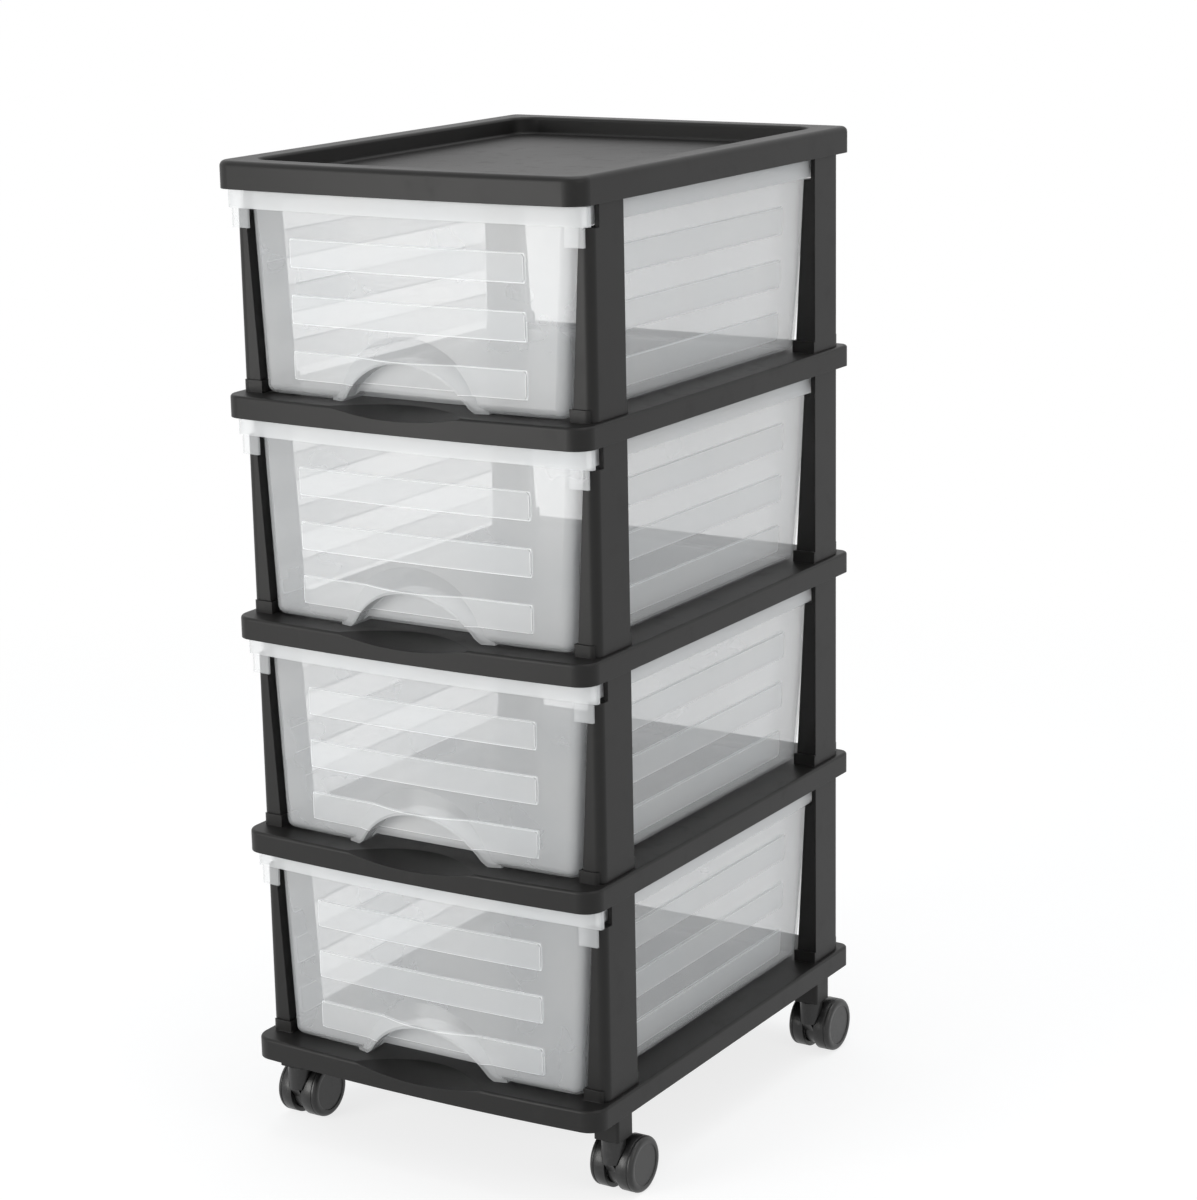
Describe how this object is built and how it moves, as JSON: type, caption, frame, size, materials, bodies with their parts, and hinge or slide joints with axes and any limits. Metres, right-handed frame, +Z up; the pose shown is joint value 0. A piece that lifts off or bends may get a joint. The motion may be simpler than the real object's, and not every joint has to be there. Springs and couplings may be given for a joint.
{
  "type": "plastic drawer tower",
  "caption": "Upright storage tower: see-through plastic drawers with arched finger pulls slide between black shelves on corner posts, with a tray top and twin-wheel casters.",
  "frame": {"origin": "on the floor under the middle of the tower, in the centre of the bounding box's foot", "axes": "+Z up, -Y to the front where the drawers open, +X to the right seen from the front"},
  "size_m": [0.302, 0.378, 0.702],
  "materials": {
    "frame_plastic": "black, fine satin",
    "drawer_plastic": "clear with a faint haze",
    "caster_plastic": "black, satin",
    "steel": "plated"
  },
  "bodies": {
    "tower": {"base": "frame_plastic", "shelf_1": "frame_plastic", "shelf_2": "frame_plastic", "shelf_3": "frame_plastic", "top_panel": "frame_plastic", "post_front_right_1": "frame_plastic", "post_front_right_2": "frame_plastic", "post_front_right_3": "frame_plastic", "post_front_right_4": "frame_plastic", "post_front_left_1": "frame_plastic", "post_front_left_2": "frame_plastic", "post_front_left_3": "frame_plastic", "post_front_left_4": "frame_plastic", "post_back_right_1": "frame_plastic", "post_back_right_2": "frame_plastic", "post_back_right_3": "frame_plastic", "post_back_right_4": "frame_plastic", "post_back_left_1": "frame_plastic", "post_back_left_2": "frame_plastic", "post_back_left_3": "frame_plastic", "post_back_left_4": "frame_plastic", "caster_socket_front_right": "caster_plastic", "caster_socket_front_left": "caster_plastic", "caster_socket_back_right": "caster_plastic", "caster_socket_back_left": "caster_plastic"},
    "drawer_1": {"drawer_1": "drawer_plastic"},
    "drawer_2": {"drawer_2": "drawer_plastic"},
    "drawer_3": {"drawer_3": "drawer_plastic"},
    "drawer_4": {"drawer_4": "drawer_plastic"},
    "caster_front_right": {"caster_body_front_right": "caster_plastic", "caster_stem_front_right": "steel", "wheel_axle_front_right": "steel"},
    "wheel_left_front_right": {"wheel_left_front_right": "caster_plastic"},
    "wheel_right_front_right": {"wheel_right_front_right": "caster_plastic"},
    "caster_front_left": {"caster_body_front_left": "caster_plastic", "caster_stem_front_left": "steel", "wheel_axle_front_left": "steel"},
    "wheel_left_front_left": {"wheel_left_front_left": "caster_plastic"},
    "wheel_right_front_left": {"wheel_right_front_left": "caster_plastic"},
    "caster_back_right": {"caster_body_back_right": "caster_plastic", "caster_stem_back_right": "steel", "wheel_axle_back_right": "steel"},
    "wheel_left_back_right": {"wheel_left_back_right": "caster_plastic"},
    "wheel_right_back_right": {"wheel_right_back_right": "caster_plastic"},
    "caster_back_left": {"caster_body_back_left": "caster_plastic", "caster_stem_back_left": "steel", "wheel_axle_back_left": "steel"},
    "wheel_left_back_left": {"wheel_left_back_left": "caster_plastic"},
    "wheel_right_back_left": {"wheel_right_back_left": "caster_plastic"}
  },
  "joints": [
    {"name": "drawer_1_slide", "type": "slide", "parent": "tower", "child": "drawer_1", "axis": [0, -1, 0], "range_m": [0, 0.29]},
    {"name": "drawer_2_slide", "type": "slide", "parent": "tower", "child": "drawer_2", "axis": [0, -1, 0], "range_m": [0, 0.29]},
    {"name": "drawer_3_slide", "type": "slide", "parent": "tower", "child": "drawer_3", "axis": [0, -1, 0], "range_m": [0, 0.29]},
    {"name": "drawer_4_slide", "type": "slide", "parent": "tower", "child": "drawer_4", "axis": [0, -1, 0], "range_m": [0, 0.29]},
    {"name": "caster_front_right_swivel", "type": "hinge", "parent": "tower", "child": "caster_front_right", "pos_m": [0.134, -0.146, 0.043], "axis": [0, 0, 1], "continuous": true},
    {"name": "wheel_left_front_right_spin", "type": "hinge", "parent": "caster_front_right", "child": "wheel_left_front_right", "pos_m": [0.134, -0.132, 0.02], "axis": [1, 0, 0], "continuous": true},
    {"name": "wheel_right_front_right_spin", "type": "hinge", "parent": "caster_front_right", "child": "wheel_right_front_right", "pos_m": [0.134, -0.132, 0.02], "axis": [1, 0, 0], "continuous": true},
    {"name": "caster_front_left_swivel", "type": "hinge", "parent": "tower", "child": "caster_front_left", "pos_m": [-0.134, -0.146, 0.043], "axis": [0, 0, 1], "continuous": true},
    {"name": "wheel_left_front_left_spin", "type": "hinge", "parent": "caster_front_left", "child": "wheel_left_front_left", "pos_m": [-0.134, -0.132, 0.02], "axis": [1, 0, 0], "continuous": true},
    {"name": "wheel_right_front_left_spin", "type": "hinge", "parent": "caster_front_left", "child": "wheel_right_front_left", "pos_m": [-0.134, -0.132, 0.02], "axis": [1, 0, 0], "continuous": true},
    {"name": "caster_back_right_swivel", "type": "hinge", "parent": "tower", "child": "caster_back_right", "pos_m": [0.134, 0.146, 0.043], "axis": [0, 0, 1], "continuous": true},
    {"name": "wheel_left_back_right_spin", "type": "hinge", "parent": "caster_back_right", "child": "wheel_left_back_right", "pos_m": [0.134, 0.16, 0.02], "axis": [1, 0, 0], "continuous": true},
    {"name": "wheel_right_back_right_spin", "type": "hinge", "parent": "caster_back_right", "child": "wheel_right_back_right", "pos_m": [0.134, 0.16, 0.02], "axis": [1, 0, 0], "continuous": true},
    {"name": "caster_back_left_swivel", "type": "hinge", "parent": "tower", "child": "caster_back_left", "pos_m": [-0.134, 0.146, 0.043], "axis": [0, 0, 1], "continuous": true},
    {"name": "wheel_left_back_left_spin", "type": "hinge", "parent": "caster_back_left", "child": "wheel_left_back_left", "pos_m": [-0.134, 0.16, 0.02], "axis": [1, 0, 0], "continuous": true},
    {"name": "wheel_right_back_left_spin", "type": "hinge", "parent": "caster_back_left", "child": "wheel_right_back_left", "pos_m": [-0.134, 0.16, 0.02], "axis": [1, 0, 0], "continuous": true}
  ]
}
